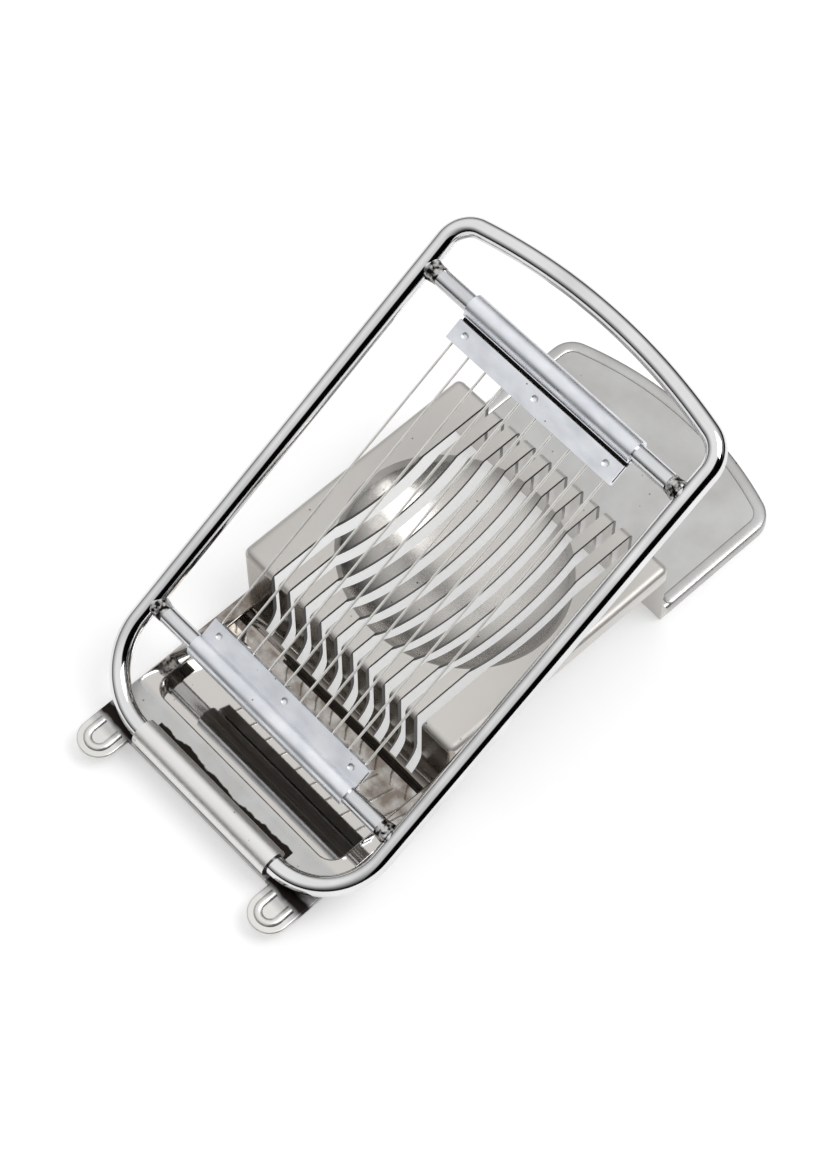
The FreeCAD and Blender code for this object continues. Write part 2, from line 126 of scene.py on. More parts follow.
def set_ramp(node: bpy.types.Node, stops: Sequence[tuple[float, str]]) -> Socket:
    """Give a colour ramp its stops.

    Args:
        node: Colour ramp node.
        stops: Places from 0 to 1 with hex colours.
    Returns:
        The ramp's colour.
    """
    ramp = node.color_ramp
    while len(ramp.elements) < len(stops):
        ramp.elements.new(0.5)
    for element, (place, code) in zip(ramp.elements, stops):
        element.position = place
        element.color = linear(code)
    return node.outputs["Color"]


def maths(tree: Tree, operation: str, *values: Socket | float) -> Socket:
    """Work out one operation on values.

    Args:
        tree: Node tree to add to.
        operation: Name of the operation, such as MULTIPLY.
        values: Sockets or numbers in order.
    Returns:
        The result.
    """
    inputs = {f"in{number}": value for number, value in enumerate(values)}
    return add_node(tree, "ShaderNodeMath", {"operation": operation}, **inputs).outputs[0]


def remap(tree: Tree, value: Socket, given: Range, wanted: Range = (0.0, 1.0), curve: str = "LINEAR") -> Socket:
    """Map a value from one range to another and hold it at the ends.

    Args:
        tree: Node tree to add to.
        value: Value to map.
        given: Values that become the wanted ends.
        wanted: Ends of the result.
        curve: Shape between the ends.
    Returns:
        The mapped value.
    """
    return add_node(tree, "ShaderNodeMapRange", {"interpolation_type": curve}, Value=value, From_Min=given[0],
                    From_Max=given[1], To_Min=wanted[0], To_Max=wanted[1]).outputs[0]


def noise(tree: Tree, place: Socket, size_mm: float, detail: float) -> Socket:
    """Cloudy noise of a real size.

    Args:
        tree: Node tree to add to.
        place: Coordinates in metres.
        size_mm: Size of the largest patches.
        detail: Number of finer layers.
    Returns:
        Noise value about 0.5.
    """
    return add_node(tree, "ShaderNodeTexNoise", Vector=place, Scale=1.0 / (size_mm * MM), Detail=detail).outputs["Fac"]


def parts(tree: Tree, vector: Socket) -> Any:
    """Split a vector.

    Args:
        tree: Node tree to add to.
        vector: Vector to split.
    Returns:
        Sockets by the names X, Y and Z.
    """
    return add_node(tree, "ShaderNodeSeparateXYZ", Vector=vector).outputs


def dot(tree: Tree, vector: Socket, axis: Place) -> Socket:
    """Length of a vector along an axis.

    Args:
        tree: Node tree to add to.
        vector: Vector to measure.
        axis: Unit axis.
    Returns:
        The length.
    """
    return add_node(tree, "ShaderNodeVectorMath", {"operation": "DOT_PRODUCT"}, in0=vector, in1=axis).outputs["Value"]


# Masks
def within(tree: Tree, value: Socket, limits: Range, soft: float = 0.0) -> Socket:
    """Mask that is 1 while a value lies between two limits.

    Args:
        tree: Node tree to add to.
        value: Value to test.
        limits: Lower and upper limit.
        soft: Width over which the mask fades outside the limits.
    Returns:
        Mask value.
    """
    middle, reach = (limits[0] + limits[1]) / 2, (limits[1] - limits[0]) / 2
    if soft <= 0.0:
        return maths(tree, "COMPARE", value, middle, reach)
    away = maths(tree, "ABSOLUTE", maths(tree, "SUBTRACT", value, middle))
    return remap(tree, away, (reach, reach + soft), (1.0, 0.0))


def zone(tree: Tree, value: Socket, limits_mm: Range, soft_mm: float = 0.0) -> Socket:
    """Mask that is 1 while a length lies between two limits in millimetres.

    Args:
        tree: Node tree to add to.
        value: Length in metres.
        limits_mm: Lower and upper limit.
        soft_mm: Width over which the mask fades outside the limits.
    Returns:
        Mask value.
    """
    return within(tree, value, (limits_mm[0] * MM, limits_mm[1] * MM), soft_mm * MM)


def together(tree: Tree, *masks: Socket) -> Socket:
    """Multiply masks.

    Args:
        tree: Node tree to add to.
        masks: Mask values.
    Returns:
        Mask value.
    """
    whole = masks[0]
    for mask in masks[1:]:
        whole = maths(tree, "MULTIPLY", whole, mask)
    return whole


def stain(tree: Tree, mask: Socket, tone: Socket, code: str) -> Socket:
    """Lay a colour over a tone where a mask is 1.

    Args:
        tree: Node tree to add to.
        mask: Mask value.
        tone: Colour underneath.
        code: Hex colour on top.
    Returns:
        Mixed colour.
    """
    return add_node(tree, "ShaderNodeMix", {"data_type": "RGBA"}, Factor=mask, in6=tone, in7=linear(code)).outputs[2]


def blend(tree: Tree, mask: Socket, under: Socket, over: Socket | float) -> Socket:
    """Take one value where a mask is 0 and another where it is 1.

    Args:
        tree: Node tree to add to.
        mask: Mask value.
        under: Value at 0.
        over: Value at 1.
    Returns:
        Mixed value.
    """
    return add_node(tree, "ShaderNodeMix", {"data_type": "FLOAT"}, Factor=mask, in2=under, in3=over).outputs[0]


# Finishes
@dataclass(frozen=True)
class MetalFinish:
    """Bare metal: a colour with cloudy variation, a roughness range, grit in the relief and small dark pits.

    Each size is a real one in millimetres; grit finer than the render can show is drawn at the stated size.
    """

    name: str
    pale: str
    deep: str
    rough_low: float
    rough_high: float
    cloud_mm: float
    grit_mm: float
    grit_lift_mm: float
    stretch: Place = (1.0, 1.0, 1.0)
    grit_spread: Range = (0.3, 0.7)
    pit_mm: float = 0.0
    pit_spacing: float = 12.0
    pit_edge: Range = (0.03, 0.07)
    pit_colour: str = "#6E6862"
    blend_reach: float = 0.2

    def build(self) -> Material:
        """Make the material.

        Returns:
            Material with its nodes linked.
        """
        material = bpy.data.materials.new(self.name)
        material.use_nodes = True
        tree = material.node_tree
        tree.nodes.clear()
        output = add_node(tree, "ShaderNodeOutputMaterial")
        place = add_node(tree, "ShaderNodeTexCoord").outputs["Object"]
        turned = add_node(tree, "ShaderNodeMapping", Vector=place, Scale=self.stretch).outputs[0]
        cloud = noise(tree, turned, self.cloud_mm, 4.0)
        grit = noise(tree, turned, self.grit_mm, 2.0)
        tone = set_ramp(add_node(tree, "ShaderNodeValToRGB", Fac=cloud),
                        [(0.5 - self.blend_reach, self.deep), (0.5 + self.blend_reach, self.pale)])
        colour = self.tint(tree, place, tone)
        if self.pit_mm > 0.0:
            spacing = self.pit_mm * self.pit_spacing * MM
            cells = add_node(tree, "ShaderNodeTexVoronoi", Vector=place, Scale=1.0 / spacing).outputs["Distance"]
            colour = stain(tree, remap(tree, cells, self.pit_edge, (1.0, 0.0)), colour, self.pit_colour)
        rough = remap(tree, grit, self.grit_spread, (self.rough_low, self.rough_high))
        relief = add_node(tree, "ShaderNodeBump", Height=grit, Distance=self.grit_lift_mm * MM,
                          Strength=self.depth(tree, place))
        shader = add_node(tree, "ShaderNodeBsdfPrincipled", Base_Color=colour, Metallic=1.0,
                          Roughness=self.polish(tree, place, rough), Normal=relief.outputs[0])
        tree.links.new(shader.outputs[0], output.inputs[0])
        return material

    def tint(self, tree: Tree, place: Socket, tone: Socket) -> Socket:
        """Change the colour by place; plain metal leaves it as it is.

        Args:
            tree: Node tree to add to.
            place: Object coordinates.
            tone: Colour so far.
        Returns:
            Colour.
        """
        return tone

    def polish(self, tree: Tree, place: Socket, rough: Socket) -> Socket:
        """Change the roughness by place; plain metal leaves it as it is.

        Args:
            tree: Node tree to add to.
            place: Object coordinates.
            rough: Roughness so far.
        Returns:
            Roughness.
        """
        return rough

    def depth(self, tree: Tree, place: Socket) -> Socket | float:
        """Change the strength of the relief by place; plain metal has all of it.

        Args:
            tree: Node tree to add to.
            place: Object coordinates.
        Returns:
            Strength from 0 to 1.
        """
        return 1.0


@dataclass(frozen=True)
class StampedSheet(MetalFinish):
    """Stamped aluminium: satin foot and plate, the deck and pan rubbed warmer, painted shade on the slots' cut sides,
    the rear wall and round the hinge, and a stained heel with painted shade and reflection.

    Zones are millimetres along the part's axes; X zones count from the middle to either side.
    """

    # Colours; the slot-side, wall and hinge ones are painted shade, the heel one a stain with painted shade and
    # reflection
    rubbed: str = "#CBC8C4"
    slot_side_shade: str = "#151311"
    wall_shade: str = "#A39C94"
    hinge_shade: str = "#231F1D"
    heel_stain_and_shade: str = "#7D746C"
    curl: str = "#E2E1DF"
    ear: str = "#DDDCD9"
    # Roughness and relief
    rubbed_rough: float = 0.26
    pan_rough: float = 0.045
    deck_rough: float = 0.5
    rubbed_depth: float = 0.08
    # Rubbed length, with the width of the fade at its front and rear
    deck_front_mm: float = -39.6
    front_fade_mm: float = 1.5
    pan_front_mm: float = 30.0
    pan_rear_mm: float = 60.6
    rear_fade_mm: float = 1.0
    # Flat top of the deck
    deck_z_mm: Range = (23.4, 25.0)
    deck_fade_mm: float = 0.6
    # Rear wall, on its rear face, painted darker as shade
    wall_y_mm: Range = (26.0, 36.0)
    wall_z_mm: Range = (-3.0, 23.0)
    wall_facing: Range = (0.4, 1.1)
    # Cut sides of the slots, painted dark as shade
    slots_x_mm: Range = (-1.0, 25.5)
    slots_y_mm: Range = (-41.5, 31.5)
    slots_facing: Range = (0.7, 1.1)
    # Pan and wall where they meet: a mottled stain with painted dark reflection and shade
    heel_y_mm: Range = (26.0, 40.5)
    heel_z_mm: Range = (-3.0, 12.0)
    heel_fade_mm: float = 4.0
    mottle_mm: float = 4.0
    mottle_spread: Range = (0.35, 0.6)
    mottle_weight: Range = (0.35, 1.0)
    # Painted shade on the plate before the curl and at the ears' roots under the rod, with a ragged edge
    plate_z_mm: Range = (3.0, 6.4)
    lip_x_mm: Range = (-1.0, 21.8)
    lip_y_mm: Range = (66.0, 69.5)
    lip_fade_mm: float = 0.3
    ear_x_mm: Range = (22.5, 36.0)
    ear_y_mm: Range = (71.5, 73.6)
    ear_fade_mm: float = 1.6
    ragged_mm: float = 7.0
    ragged_reach_mm: float = 4.0
    # Ears, brighter than the plate
    tip_y_mm: Range = (75.5, 83.0)
    tip_fade_mm: float = 1.5
    # Hinge curl, and its two ends, which are painted dark as shade
    curl_y_mm: Range = (65.0, 73.2)
    curl_z_mm: Range = (6.4, 12.0)
    end_x_mm: Range = (21.0, 22.0)
    end_y_mm: Range = (65.5, 73.0)
    end_facing: Range = (0.8, 1.1)

    def rubbed_part(self, tree: Tree, place: Socket) -> Socket:
        """Mask that is 1 from the deck's front to the pan's rear, by place along the part.

        Args:
            tree: Node tree to add to.
            place: Object coordinates.
        Returns:
            Mask value.
        """
        along = parts(tree, place)["Y"]
        after = remap(tree, along, ((self.deck_front_mm - self.front_fade_mm) * MM, self.deck_front_mm * MM))
        before = remap(tree, along, (self.pan_rear_mm * MM, (self.pan_rear_mm - self.rear_fade_mm) * MM))
        return together(tree, after, before)

    def tint(self, tree: Tree, place: Socket, tone: Socket) -> Socket:
        """Rub the deck and pan bright, paint shade on the slots' cut sides, the rear wall and round the hinge, and
        stain the heel with painted shade and reflection.

        Args:
            tree: Node tree to add to.
            place: Object coordinates.
            tone: Colour so far.
        Returns:
            Colour.
        """
        at = parts(tree, place)
        facing = parts(tree, add_node(tree, "ShaderNodeTexCoord").outputs["Normal"])
        aside = maths(tree, "ABSOLUTE", at["X"])
        sideways = maths(tree, "ABSOLUTE", facing["X"])
        ragged = noise(tree, place, self.ragged_mm, 5.0)
        strayed = maths(tree, "MULTIPLY_ADD", ragged, self.ragged_reach_mm * MM, at["Y"])
        mottle = remap(tree, noise(tree, place, self.mottle_mm, 4.0), self.mottle_spread, self.mottle_weight)
        # Heel: a mottled stain with painted dark reflection and shade where the pan meets the rear wall
        heel_stain_and_shade = together(tree, zone(tree, at["Y"], self.heel_y_mm, self.heel_fade_mm),
                        zone(tree, at["Z"], self.heel_z_mm), mottle)
        curl = together(tree, zone(tree, at["Y"], self.curl_y_mm), zone(tree, at["Z"], self.curl_z_mm))
        # Rear wall's face towards the hinge painted darker as shade
        wall = together(tree, zone(tree, at["Y"], self.wall_y_mm), zone(tree, at["Z"], self.wall_z_mm),
                        within(tree, facing["Y"], self.wall_facing))
        # Cut sides of the slots painted near-black as shade
        slot_side_shade = together(tree, zone(tree, aside, self.slots_x_mm), zone(tree, at["Y"], self.slots_y_mm),
                           within(tree, sideways, self.slots_facing))
        tips = zone(tree, at["Y"], self.tip_y_mm, self.tip_fade_mm)
        plate = zone(tree, at["Z"], self.plate_z_mm)
        # Plate before the curl, ears' roots and the curl's ends painted near-black as shade
        lip = together(tree, plate, zone(tree, aside, self.lip_x_mm),
                       zone(tree, strayed, self.lip_y_mm, self.lip_fade_mm))
        ears = together(tree, plate, zone(tree, aside, self.ear_x_mm),
                        zone(tree, strayed, self.ear_y_mm, self.ear_fade_mm))
        ends = together(tree, zone(tree, at["Y"], self.end_y_mm), within(tree, sideways, self.end_facing),
                        zone(tree, aside, self.end_x_mm))
        layers = ((self.rubbed_part(tree, place), self.rubbed), (heel_stain_and_shade, self.heel_stain_and_shade), (curl, self.curl),
                  (tips, self.ear), (wall, self.wall_shade), (slot_side_shade, self.slot_side_shade), (lip, self.hinge_shade),
                  (ears, self.hinge_shade), (ends, self.hinge_shade))
        for mask, code in layers:
            tone = stain(tree, mask, tone, code)
        return tone

    def polish(self, tree: Tree, place: Socket, rough: Socket) -> Socket:
        """Keep the deck's flat top satin, make the bowl smoother, and the pan, with its mill polish, smoothest.

        Args:
            tree: Node tree to add to.
            place: Object coordinates.
            rough: Roughness so far.
        Returns:
            Roughness.
        """
        at = parts(tree, place)
        rubbed = self.rubbed_part(tree, place)
        smooth = maths(tree, "MULTIPLY", rough, self.rubbed_rough / self.rough_high)
        whole = blend(tree, rubbed, rough, smooth)
        top = together(tree, zone(tree, at["Z"], self.deck_z_mm, self.deck_fade_mm), rubbed)
        whole = blend(tree, top, whole, self.deck_rough)
        pan = zone(tree, at["Y"], (self.pan_front_mm, self.pan_rear_mm), self.rear_fade_mm)
        return blend(tree, pan, whole, self.pan_rough)

    def depth(self, tree: Tree, place: Socket) -> Socket | float:
        """Nearly flat where the sheet is rubbed.

        Args:
            tree: Node tree to add to.
            place: Object coordinates.
        Returns:
            Strength from 0 to 1.
        """
        return remap(tree, self.rubbed_part(tree, place), (0.0, 1.0), (1.0, self.rubbed_depth))


@dataclass(frozen=True)
class FoldedSheet(MetalFinish):
    """Folded clip sheet: painted darker as shade on the face towards the base, and painted near-black as shade in the
    open seam beside the front clip's tube.
    """

    under_facing: Range = (-1.1, -0.3)
    seam_mm: Range = (116.05, 117.0)
    underside_shade: str = "#6A6866"
    seam_shade: str = "#1A1817"

    def tint(self, tree: Tree, place: Socket, tone: Socket) -> Socket:
        """Paint shade on the lower face and in the seam, by place along the frame.

        Args:
            tree: Node tree to add to.
            place: Object coordinates.
            tone: Colour so far.
        Returns:
            Colour.
        """
        a = math.radians(REST_ANGLE)
        spot = tuple(v * MM for v in HINGE_MM)
        from_hinge = add_node(tree, "ShaderNodeVectorMath", {"operation": "SUBTRACT"}, in0=place, in1=spot).outputs[0]
        along = dot(tree, from_hinge, (0.0, -math.cos(a), math.sin(a)))
        facing = add_node(tree, "ShaderNodeTexCoord").outputs["Normal"]
        upward = dot(tree, facing, (0.0, math.sin(a), math.cos(a)))
        # Lower face painted darker as shade
        tone = stain(tree, within(tree, upward, self.under_facing), tone, self.underside_shade)
        # Open seam painted near-black as shade
        return stain(tree, zone(tree, along, self.seam_mm), tone, self.seam_shade)


@dataclass(frozen=True)
class WeldedRod(MetalFinish):
    """Bright rod with burnt colour where crossbars meet the rails."""

    welds_mm: tuple[Place, ...] = ()
    burnt: str = "#3A3633"
    burnt_reach_mm: float = 3.0
    burnt_fade_mm: float = 0.8
    ragged_mm: float = 1.6
    ragged_reach_mm: float = 3.2

    def tint(self, tree: Tree, place: Socket, tone: Socket) -> Socket:
        """Darken the metal near each weld, ragged at the edge.

        Args:
            tree: Node tree to add to.
            place: Object coordinates.
            tone: Colour so far.
        Returns:
            Colour.
        """
        ragged = noise(tree, place, self.ragged_mm, 3.0)
        edge = ((self.burnt_reach_mm - self.burnt_fade_mm) * MM, (self.burnt_reach_mm + self.burnt_fade_mm) * MM)
        for weld in self.welds_mm:
            spot = tuple(v * MM for v in weld)
            away = add_node(tree, "ShaderNodeVectorMath", {"operation": "DISTANCE"}, in0=place, in1=spot)
            worn = maths(tree, "MULTIPLY_ADD", ragged, self.ragged_reach_mm * MM, away.outputs["Value"])
            tone = stain(tree, remap(tree, worn, edge, (1.0, 0.0)), tone, self.burnt)
        return tone


# Meshes
def add_mesh(name: str, points: Array, quads: Array, material: Material) -> Piece:
    """Make a smooth mesh object at the origin.

    Args:
        name: Object name.
        points: Vertices in metres, n by 3.
        quads: Corner indices, m by 4.
        material: Finish.
    Returns:
        The object, linked to the scene.
    """
    mesh = bpy.data.meshes.new(name)
    mesh.from_pydata(points.tolist(), [], quads.tolist())
    mesh.polygons.foreach_set("use_smooth", np.ones(len(quads), dtype=bool))
    mesh.materials.append(material)
    mesh.update()
    piece = bpy.data.objects.new(name, mesh)
    bpy.context.scene.collection.objects.link(piece)
    return piece


def grid_quads(rows: int, columns: int, closed_rows: bool) -> Array:
    """Corner indices of a grid whose columns wrap round.

    Args:
        rows: Number of rings.
        columns: Points in each ring.
        closed_rows: Whether the last ring joins the first.
    Returns:
        Indices, m by 4.
    """
    row = np.arange(rows if closed_rows else rows - 1)[:, None]
    column = np.arange(columns)[None, :]
    after, beside = (row + 1) % rows, (column + 1) % columns
    corners = (row * columns + column, row * columns + beside, after * columns + beside, after * columns + column)
    return np.stack(np.broadcast_arrays(*corners), axis=-1).reshape(-1, 4)


def arc_points(centre: Range, radius: float, start: float, end: float, count: int) -> Array:
    """Points on a flat arc, without its last point.

    Args:
        centre: Centre in the plane.
        radius: Arc radius.
        start: First angle in degrees.
        end: Last angle in degrees.
        count: Number of points.
    Returns:
        Points, count by 2.
    """
    angle = np.radians(np.linspace(start, end, count, endpoint=False))
    return np.stack([centre[0] + radius * np.cos(angle), centre[1] + radius * np.sin(angle)], axis=1)


def tube(path: Array, radius: float, sides: int, closed: bool, squash: float = 1.0) -> tuple[Array, Array]:
    """Tube along a flat path: each ring is centre + radius * (cos a * side + squash * sin a * up).

    Args:
        path: Points in the XY plane, n by 2.
        radius: Tube radius.
        sides: Points round the tube.
        closed: Whether the path is a loop; an open tube gets round ends.
        squash: Height of the section over its width, 1 for a round one.
    Returns:
        Points in the plane's own frame and quads.
    """
    if closed:
        ahead = np.roll(path, -1, axis=0) - np.roll(path, 1, axis=0)
        reach = np.full(len(path), radius)
    else:
        dome = np.linspace(DOME_TIP, 1.0, DOME_RINGS) * math.pi / 2
        lead = (path[1] - path[0]) / np.linalg.norm(path[1] - path[0])
        trail = (path[-1] - path[-2]) / np.linalg.norm(path[-1] - path[-2])
        start = path[0] - lead * radius * np.cos(dome)[:, None]
        stop = path[-1] + trail * radius * np.cos(dome[::-1])[:, None]
        path = np.vstack([start, path[1:-1], stop])
        body = np.ones(len(path) - 2 * DOME_RINGS)
        reach = np.concatenate([np.sin(dome), body, np.sin(dome[::-1])]) * radius
        ahead = np.gradient(path, axis=0)
    ahead = ahead / np.linalg.norm(ahead, axis=1, keepdims=True)
    side = np.stack([-ahead[:, 1], ahead[:, 0], np.zeros(len(path))], axis=1)
    angle = np.linspace(0, 2 * math.pi, sides, endpoint=False)[None, :, None]
    centre = np.column_stack([path, np.zeros(len(path))])
    ring = side[:, None, :] * np.cos(angle) + np.array([0, 0, squash]) * np.sin(angle)
    points = centre[:, None, :] + ring * reach[:, None, None]
    return points.reshape(-1, 3), grid_quads(len(path), sides, closed)


# Sub-assemblies
@dataclass(frozen=True)
class FrameAssembly:
    """Hinged frame: bent rod, crossbars, wire clips and the laced wire. Millimetres and degrees."""

    # Rod
    rod: float = 4.8
    rail_spacing: float = 80.0
    rear_bend: float = 18.0
    front_bend: float = 7.0
    bow_reach: float = 137.5
    bow_radius: float = 150.0
    rod_sides: int = 40
    hinge_points: int = 24
    rear_points: int = 28
    rail_points: int = 30
    front_points: int = 22
    bow_points: int = 48
    # Crossbars and clips
    rear_bar: float = 22.9
    front_bar: float = 119.9
    bar: float = 4.4
    rear_clip_reach: float = 7.4
    front_clip_reach: float = 8.9
    clip_sheet: float = 0.7
    # Wire
    wire: float = 0.6
    wire_gap: float = 0.05
    wire_bend: float = 0.9
    wire_pitch: float = 5.2
    wire_count: int = 10
    wire_tail: float = 3.0
    wire_sides: int = 12
    wire_points: int = 6
    # Weld beads: gap to the bar, mean swell, two waves round the bar, distance inside the rail, and length
    weld_gap: float = 0.03
    weld_swell: float = 0.32
    weld_broad: tuple[int, float] = (3, 0.18)
    weld_fine: tuple[int, float] = (7, 0.12)
    weld_start: float = 2.6
    weld_length: float = 3.3
    weld_rings: int = 12
    weld_sides: int = 28

    def raise_up(self, points: Array) -> Array:
        """Turn flat frame points up about the hinge axis to the rest angle.

        Args:
            points: Millimetre points with the hinge on the X axis and the bow towards -Y.
        Returns:
            Points in metres in the part's frame.
        """
        a = math.radians(-REST_ANGLE)
        turn = np.array([[1, 0, 0], [0, math.cos(a), -math.sin(a)], [0, math.sin(a), math.cos(a)]])
        return (points @ turn.T + np.array(HINGE_MM)) * MM

    def weld_places(self) -> tuple[Place, ...]:
        """Find where the crossbars meet the rails.

        Returns:
            Places in millimetres.
        """
        across = self.rail_spacing / 2 - self.rod / 2
        flat = np.array([[s * across, -u, 0.0] for u in (self.rear_bar, self.front_bar) for s in (-1, 1)])
        return tuple(tuple(float(v) for v in row) for row in self.raise_up(flat) / MM)

    def rod_path(self) -> Array:
        """Loop of the rod: hinge bar, rear bends, rails, front bends and bow, as arcs joined by straight runs.

        Returns:
            Points in the frame's plane, n by 2.
        """
        half, rear, front, bow = self.rail_spacing / 2, self.rear_bend, self.front_bend, self.bow_radius
        bow_y = bow - self.bow_reach
        inset = half - front
        corner_y = bow_y - math.sqrt((bow - front) ** 2 - inset ** 2)
        swing = math.degrees(math.asin(inset / (bow - front)))
        bar = np.linspace(rear - half, half - rear, self.hinge_points, endpoint=False)
        going = np.linspace(-rear, corner_y, self.rail_points, endpoint=False)
        coming = np.linspace(corner_y, -rear, self.rail_points, endpoint=False)
        return np.vstack([
            np.stack([bar, np.zeros_like(bar)], axis=1),
            arc_points((half - rear, -rear), rear, 90, 0, self.rear_points),
            np.stack([np.full_like(going, half), going], axis=1),
            arc_points((inset, corner_y), front, 0, -90 + swing, self.front_points),
            arc_points((0.0, bow_y), bow, -90 + swing, -90 - swing, self.bow_points),
            arc_points((-inset, corner_y), front, -90 - swing, -180, self.front_points),
            np.stack([np.full_like(coming, -half), coming], axis=1),
            arc_points((rear - half, -rear), rear, 180, 90, self.rear_points),
        ])

    def wire_path(self) -> Array:
        """One line to and fro: strands a pitch apart, each pair joined by two small arcs inside a clip's fold.

        Returns:
            Points in the frame's plane, n by 2.
        """
        inside = self.clip_sheet + self.wire / 2 + self.wire_gap
        rear = -(self.rear_bar + self.rear_clip_reach) + inside
        front = -(self.front_bar - self.front_clip_reach) - inside
        bend, pitch = self.wire_bend, self.wire_pitch
        first = -(self.wire_count - 1) * pitch / 2
        runs = [np.array([[first, rear + self.wire_tail]])]
        for i in range(self.wire_count - 1):
            x = first + i * pitch
            going = i % 2 == 0
            y = front + bend if going else rear - bend
            middle, last = (270, 360) if going else (90, 0)
            runs += [arc_points((x + bend, y), bend, 180, middle, self.wire_points),
                     arc_points((x + pitch - bend, y), bend, middle, last, self.wire_points),
                     np.array([[x + pitch, y]])]
        runs.append(np.array([[-first, rear + self.wire_tail]]))
        return np.vstack(runs)

    def weld(self, name: str, side: int, reach: float, material: Material) -> Piece:
        """Lumpy bead round a crossbar's end: radius grows towards the rail and wobbles round the bar.

        Args:
            name: Piece name.
            side: 1 or -1, the side of the frame.
            reach: Distance of the crossbar from the hinge.
            material: Finish.
        Returns:
            The bead.
        """
        along = np.linspace(0, 1, self.weld_rings)[:, None]
        angle = np.linspace(0, 2 * math.pi, self.weld_sides, endpoint=False)[None, :]
        broad = self.weld_broad[1] * np.sin(self.weld_broad[0] * angle + reach)
        fine = self.weld_fine[1] * np.sin(self.weld_fine[0] * angle + side) * along
        taper = np.sin(along * math.pi / 2) ** 2 * np.minimum(1, 6 * (1 - along) + 0.6)
        radius = self.bar / 2 + self.weld_gap + (self.weld_swell + (broad + fine)) * taper
        rail = self.rail_spacing / 2 - self.rod / 2
        x = side * (rail - self.weld_start + along * self.weld_length) + 0 * angle
        points = np.stack([x, -reach + radius * np.cos(angle), radius * np.sin(angle)], axis=-1).reshape(-1, 3)
        quads = grid_quads(self.weld_rings, self.weld_sides, False)
        return add_mesh(name, self.raise_up(points), quads if side < 0 else quads[:, ::-1], material)

    def build(self, nodes: dict[str, Piece], finishes: dict[str, Material]) -> None:
        """Make the rod, wire and welds, and dress the bars and clips.

        Args:
            nodes: Part nodes by name.
            finishes: Materials by name.
        """
        points, quads = tube(self.rod_path(), self.rod / 2, self.rod_sides, True)
        rod = add_mesh("bent_rod", self.raise_up(points), quads, finishes["rod"])
        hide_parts("frame_rod")
        points, quads = tube(self.wire_path(), self.wire / 2, self.wire_sides, False)
        wire = add_mesh("laced_wire", self.raise_up(points), quads, finishes["wire"])
        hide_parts("cutting_wire")
        pieces = [rod, wire]
        for place, reach in (("rear", self.rear_bar), ("front", self.front_bar)):
            for word, side in (("left", 1), ("right", -1)):
                bead = self.weld(f"{place}_{word}_weld", side, reach, finishes["weld"])
                pieces.append(bead)
            dress(nodes[f"{place}_crossbar"], finishes["bar"])
            dress(nodes[f"{place}_wire_clip"], finishes["clip"])
        for piece in pieces:
            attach(piece, Body.FRAME.value)
            LOG.info("%s: %d faces", piece.name, len(piece.data.polygons))


@dataclass(frozen=True)
class BaseAssembly:
    """Stamped base with its deck, bowl, pan, ears, hinge curl and foot. Millimetres and degrees."""

    node: str = "base"
    # Outline of the foot
    foot_half: float = 34.2
    foot_front: float = -81.6
    foot_rear: float = -42.5
    foot_bow: float = 88.0
    foot_corner: float = 6.5
    foot_top: float = 2.8
    # Rolled rim: distance inside the outline, half width, rise, and how far its middle is sunk
    rim_inset: float = 1.7
    rim_half: float = 1.5
    rim_rise: float = 0.42
    rim_sink: float = 0.06
    rim_sides: int = 20
    bend_points: int = 16
    bow_points: int = 48

    def rim_path(self) -> Array:
        """Line a little inside the foot's outline: one side, a corner, the bowed front, a corner and the other side.

        Returns:
            Points in the plan, n by 2.
        """
        inner = self.foot_half - self.foot_corner
        centre_y = self.foot_front + self.foot_bow
        reach = self.foot_bow - self.foot_corner
        corner_y = centre_y - math.sqrt(reach ** 2 - inner ** 2)
        swing = math.degrees(math.asin(inner / reach))
        side, small, large = (v - self.rim_inset for v in (self.foot_half, self.foot_corner, self.foot_bow))
        going = np.linspace(self.foot_rear, corner_y, self.bend_points, endpoint=False)
        coming = np.linspace(corner_y, self.foot_rear, self.bend_points)
        return np.vstack([
            np.stack([np.full_like(going, side), going], axis=1),
            arc_points((inner, corner_y), small, 0, -90 + swing, self.bend_points),
            arc_points((0.0, centre_y), large, -90 + swing, -90 - swing, self.bow_points),
            arc_points((-inner, corner_y), small, -90 - swing, -180, self.bend_points),
            np.stack([np.full_like(coming, -side), coming], axis=1),
        ])

    def build(self, nodes: dict[str, Piece], finishes: dict[str, Material]) -> None:
        """Dress the stamped sheet and add the rolled rim of its foot.

        Args:
            nodes: Part nodes by name.
            finishes: Materials by name.
        """
        dress(nodes[self.node], finishes["sheet"])
        points, quads = tube(self.rim_path(), self.rim_half, self.rim_sides, False, self.rim_rise / self.rim_half)
        lifted = (points + np.array([0.0, 0.0, self.foot_top - self.rim_sink])) * MM
        rim = add_mesh("foot_rim", lifted, quads, finishes["sheet"])
        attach(rim, Body.BASE.value)
        LOG.info("%s: %d faces", rim.name, len(rim.data.polygons))


def dress(node: Piece, material: Material) -> None:
    """Give a part node its finish.

    Args:
        node: Part node.
        material: Finish.
    """
    for place in node.material_slots:
        place.material = material
    LOG.info("%s: %s", node.name, material.name)


